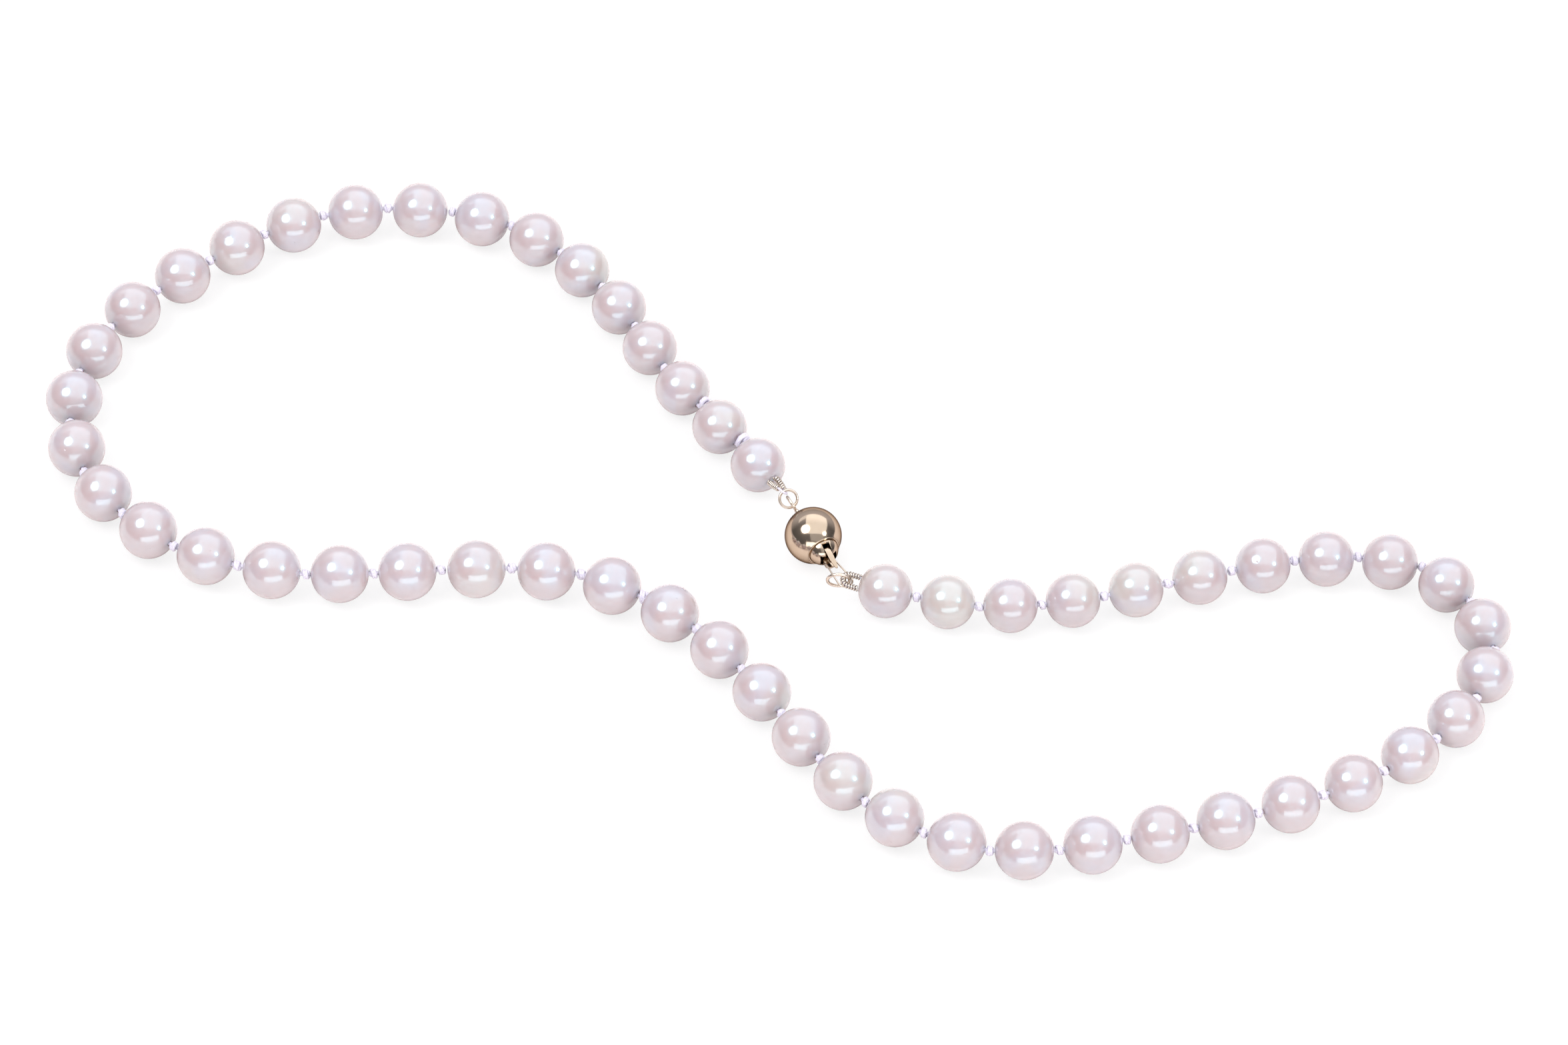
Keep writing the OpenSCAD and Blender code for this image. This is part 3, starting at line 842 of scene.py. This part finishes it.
def eased_copy(node: str, name: str, width_mm: float, segments: int = 3) -> bpy.types.Object:
    """Copies a CAD node and rounds its sharp edges.

    Args:
        node: The CAD node.
        name: Name of the new piece.
        width_mm: How far back from an edge the rounding starts.
        segments: Faces across the rounding.

    Returns:
        The new object, with its edges in the mesh.
    """
    work = bmesh.new()
    work.from_mesh(frame["nodes"][node].data)
    bmesh.ops.remove_doubles(work, verts=work.verts, dist=1e-6)
    bmesh.ops.dissolve_limit(work, angle_limit=math.radians(FLAT_DEG), verts=work.verts,
                             edges=work.edges)
    sharp = [e for e in work.edges if len(e.link_faces) == 2
             and e.calc_face_angle() > math.radians(SHARP_DEG)]
    bmesh.ops.bevel(work, geom=sharp, offset=width_mm * MM, offset_type="OFFSET",
                    segments=segments, profile=0.5, affect="EDGES", clamp_overlap=True)
    bmesh.ops.recalc_face_normals(work, faces=work.faces)
    mesh = bpy.data.meshes.new(name)
    work.to_mesh(mesh)
    work.free()
    mesh.polygons.foreach_set("use_smooth", [True] * len(mesh.polygons))
    mesh.set_sharp_from_angle(angle=math.radians(CREASE_DEG))
    piece = bpy.data.objects.new(name, mesh)
    bpy.context.scene.collection.objects.link(piece)
    return piece


@dataclass
class BallClasp:
    """Hollow ball with a slotted mouth, its folded tongue and the two rings, in millimetres."""

    gold: GoldPlate = GoldPlate()
    wire: GoldWirePaintedBright = GoldWirePaintedBright()
    shell_edge: float = 2.9        # from the ball's centre to the edge of its shell
    ball_r: float = 3.7
    seam_r: float = 0.08
    seam_sink: float = 0.04        # how deep the seam wire lies in the ball
    easing: float = 0.035

    def __post_init__(self) -> None:
        """Reads the clasp's axis and centre from its joint."""
        roll = next(j for j in frame["joints"] if j["name"] == "clasp_roll")
        self.centre = np.array(roll["pos_m"]) / MM
        self.axis = unit(np.array(roll["axis"], float))

    def seam(self) -> None:
        """A half-sunk wire that covers the joint between shell and mouth."""
        across = unit(np.cross([0.0, 0.0, 1.0], self.axis))
        up = np.cross(self.axis, across)
        reach = math.sqrt(self.ball_r ** 2 - self.shell_edge ** 2) - self.seam_sink
        angles = np.linspace(0, 2 * math.pi, 121)
        ring = (self.centre + self.shell_edge * self.axis
                + reach * (np.cos(angles)[:, None] * across + np.sin(angles)[:, None] * up))
        draft = Draft()
        draft.tube(ring, self.seam_r, sides=12)
        settle(draft.build("mouth_seam_wire"), "ball", self.gold)

    def build(self) -> None:
        """Dresses the ball and its rings and builds the tongue with eased edges."""
        dress_cad("ball_shell", self.gold)
        # the eye, rings and bail take the wire finish, whose paler colour paints brighter reflections
        for node in ("ball_eye", "ring_a", "ring_b", "bail"):
            dress_cad(node, self.wire)
        for node, body, name in (("ball_mouth", "ball", "slotted_mouth"),
                                 ("tongue_base", "tongue", "tongue_base_leaf"),
                                 ("tongue_spring", "lever", "tongue_spring_leaf")):
            piece = eased_copy(node, name, self.easing)
            settle(piece, body, self.gold, (node,))
        self.seam()


# --- Studio ------------------------------------------------------------------------------------


class LampShape(Enum):
    """Shapes of a soft lamp's face."""

    ROUND = "DISK"
    PANEL = "RECTANGLE"


@dataclass(frozen=True)
class SoftLamp:
    """A soft lamp that looks at the necklace. Lengths are in metres."""

    name: str
    towards: tuple[float, float, float]    # direction from the necklace to the lamp
    distance: float
    width: float
    depth: float
    radiance: float                        # brightness of its face; 1 is paper white
    shape: LampShape = LampShape.PANEL
    level: bool = False                    # its face looks straight down

    def hang(self) -> None:
        """Puts the lamp in the scene."""
        data = bpy.data.lights.new(self.name, "AREA")
        data.shape = self.shape.value
        data.size, data.size_y = self.width, self.depth
        area = self.width * self.depth * (math.pi / 4 if self.shape is LampShape.ROUND else 1.0)
        data.energy = self.radiance * area * math.pi
        lamp = bpy.data.objects.new(self.name, data)
        direction = Vector(self.towards).normalized()
        lamp.location = direction * self.distance
        if not self.level:
            lamp.rotation_mode = "QUATERNION"
            lamp.rotation_quaternion = direction.to_track_quat("Z", "Y")
        lamp.visible_camera = False
        bpy.context.scene.collection.objects.link(lamp)


@dataclass
class Studio:
    """Pale floor, soft lamps, and the camera at the photograph's angle."""

    elevation: float = 48.853              # of the camera over the table, in degrees
    distance_mm: float = 931.45
    lens_mm: float = 164.94
    sensor_mm: float = 36.0
    clip_m: tuple[float, float] = (0.05, 20.0)
    roll: float = 0.6345                   # degrees that the camera leans over
    aim_mm: tuple[float, float] = (1.954, 2.591)
    floor_m: float = 1.6
    floor_drop_mm: float = 0.02            # keeps the floor clear of the pearls' lowest points
    card: str = "#EDE4E1"                  # the floor, as the necklace mirrors it
    card_seen: str = "#FAF9F9"             # the floor, as the camera sees it
    card_glow: float = 0.78                # share of plain white mixed in for the camera
    walls: str = "#E8E6EE"
    walls_light: tuple[float, float] = (0.16, 0.27)     # from table height to the top
    back_light: float = 0.65               # added behind the necklace
    lamps: tuple[SoftLamp, ...] = (
        SoftLamp("key_round", (-0.514, -0.175, 0.840), 2.0, 1.2, 1.2, 5.9, LampShape.ROUND),
        SoftLamp("fill_round", (0.716, -0.354, 0.600), 2.0, 0.38, 0.38, 24.0, LampShape.ROUND),
        SoftLamp("ceiling_panel", (0.4, 0.385, 1.0), 1.8, 2.88, 3.3, 1.2, level=True),
        SoftLamp("ceiling_front", (0.5, -1.33, 1.0), 3.1, 2.88, 2.43, 0.4, level=True),
        SoftLamp("ceiling_back", (-1.0, 1.12, 1.0), 3.2, 1.8, 1.2, 0.6, level=True),
        SoftLamp("front_card", (0.15, -0.97, 0.19), 1.9, 2.66, 0.77, 2.5),
    )

    def floor(self) -> None:
        """A pale sheet under the necklace that keeps its shadow and shows white."""
        half = self.floor_m / 2
        mesh = bpy.data.meshes.new("floor")
        mesh.from_pydata([(-half, -half, 0), (half, -half, 0), (half, half, 0), (-half, half, 0)],
                         [], [(0, 1, 2, 3)])
        sheet = bpy.data.objects.new("floor", mesh)
        sheet.location.z = -self.floor_drop_mm * MM
        bpy.context.scene.collection.objects.link(sheet)
        paper = bpy.data.materials.new("matt_white_card")
        paper.use_nodes = True
        tree = paper.node_tree
        tree.nodes.clear()
        ray = add_node(tree, "ShaderNodeLightPath")
        tone = add_node(tree, "ShaderNodeMix",
                        {"data_type": "RGBA", "A_Color": linear(self.card),
                         "B_Color": linear(self.card_seen)},
                        {"Factor_Float": ray.outputs["Is Camera Ray"]})
        card = add_node(tree, "ShaderNodeBsdfDiffuse", {}, {"Color": tone.outputs["Result"]})
        glow = add_node(tree, "ShaderNodeEmission", {"Color": (1, 1, 1, 1), "Strength": 1.0})
        share = add_node(tree, "ShaderNodeMath",
                         {"operation": "MULTIPLY", "Value_001": self.card_glow},
                         {"Value": ray.outputs["Is Camera Ray"]})
        mixed = add_node(tree, "ShaderNodeMixShader", {},
                         {"Fac": share.outputs["Value"], "Shader": card.outputs["BSDF"],
                          "Shader_001": glow.outputs["Emission"]})
        add_node(tree, "ShaderNodeOutputMaterial", links={"Surface": mixed.outputs["Shader"]})
        mesh.materials.append(paper)

    def room(self) -> None:
        """Dim walls, paler at the top and behind, and white to the camera."""
        world = bpy.data.worlds.new("studio_room")
        bpy.context.scene.world = world
        world.use_nodes = True
        tree = world.node_tree
        tree.nodes.clear()
        place = add_node(tree, "ShaderNodeTexCoord").outputs["Generated"]
        apart = add_node(tree, "ShaderNodeSeparateXYZ", {}, {"Vector": place})
        rise = add_node(tree, "ShaderNodeMapRange",
                        {"From Min": 0.0, "From Max": 0.8, "To Min": self.walls_light[0],
                         "To Max": self.walls_light[1], "interpolation_type": "SMOOTHSTEP"},
                        {"Value": apart.outputs["Z"]})
        back = add_node(tree, "ShaderNodeMapRange",
                        {"From Min": 0.1, "From Max": 0.8, "To Min": 0.0,
                         "To Max": self.back_light, "interpolation_type": "SMOOTHSTEP"},
                        {"Value": apart.outputs["Y"]})
        both = add_node(tree, "ShaderNodeMath", {"operation": "ADD"},
                        {"Value": rise.outputs["Result"], "Value_001": back.outputs["Result"]})
        walls = add_node(tree, "ShaderNodeBackground", {"Color": linear(self.walls)},
                         {"Strength": both.outputs["Value"]})
        white = add_node(tree, "ShaderNodeBackground", {"Color": (1, 1, 1, 1), "Strength": 1.0})
        ray = add_node(tree, "ShaderNodeLightPath")
        mixed = add_node(tree, "ShaderNodeMixShader", {},
                         {"Fac": ray.outputs["Is Camera Ray"],
                          "Shader": walls.outputs["Background"],
                          "Shader_001": white.outputs["Background"]})
        add_node(tree, "ShaderNodeOutputWorld", links={"Surface": mixed.outputs["Shader"]})

    def camera(self) -> None:
        """Sets the camera at the photograph's angle."""
        data = bpy.data.cameras.new("camera")
        data.sensor_width, data.lens = self.sensor_mm, self.lens_mm
        data.clip_start, data.clip_end = self.clip_m
        camera = bpy.data.objects.new("camera", data)
        e, lean = math.radians(self.elevation), math.radians(self.roll)
        right, up = Vector((1, 0, 0)), Vector((0, math.sin(e), math.cos(e)))
        back = Vector((0, -math.cos(e), math.sin(e)))
        x = right * math.cos(lean) + up * math.sin(lean)
        y = up * math.cos(lean) - right * math.sin(lean)
        turn = Matrix((x, y, back)).transposed().to_4x4()
        aim = Vector((self.aim_mm[0], self.aim_mm[1], 0.0))
        turn.translation = (aim + back * self.distance_mm) * MM
        camera.matrix_world = turn
        bpy.context.scene.collection.objects.link(camera)
        bpy.context.scene.camera = camera

    def build(self) -> None:
        """Sets up floor, room, lamps and camera."""
        self.floor()
        self.room()
        for lamp in self.lamps:
            lamp.hang()
        self.camera()
        bpy.context.scene.view_settings.view_transform = "Standard"


# --- The whole ---------------------------------------------------------------------------------


def end_loops(strand: Strand) -> Iterator[EndLoop]:
    """The loops that tie the strand to the two rings.

    Args:
        strand: The strand, which knows its pearls.

    Yields:
        The loop at the ball and the loop at the tongue.
    """
    ring_a_r = 1.155               # of the ring's middle line
    eye_roll, loop_turn = 20.6, 24     # degrees: of the ball's eye, and of the loop from there
    tongue_roll = 10.0
    tilt = next(j for j in frame["joints"] if j["name"] == "ring_tilt")
    far_a = np.array(tilt["pos_m"]) / MM + ring_a_r * unit(np.array(tilt["axis"], float))
    yield EndLoop("a", "left_end", far_a, strand.centres[1], strand.radii[1],
                  90 - eye_roll - loop_turn, bend_r=0.5, bare=True, twist=-65.0)
    swivel = next(j for j in frame["joints"] if j["name"] == "ring_swivel")
    yield EndLoop("b", "right_end", np.array(swivel["pos_m"]) / MM, strand.centres[strand.count],
                  strand.radii[strand.count], tongue_roll, bend_r=0.85, bare=False)


def main() -> None:
    """Builds and dresses the necklace, sub-assembly by sub-assembly."""
    logging.basicConfig(level=logging.INFO, format="%(name)s: %(message)s")
    Studio().build()
    strand = Strand()
    strand.build()
    for loop in end_loops(strand):
        loop.build()
    BallClasp().build()


if __name__ == "__main__":
    main()
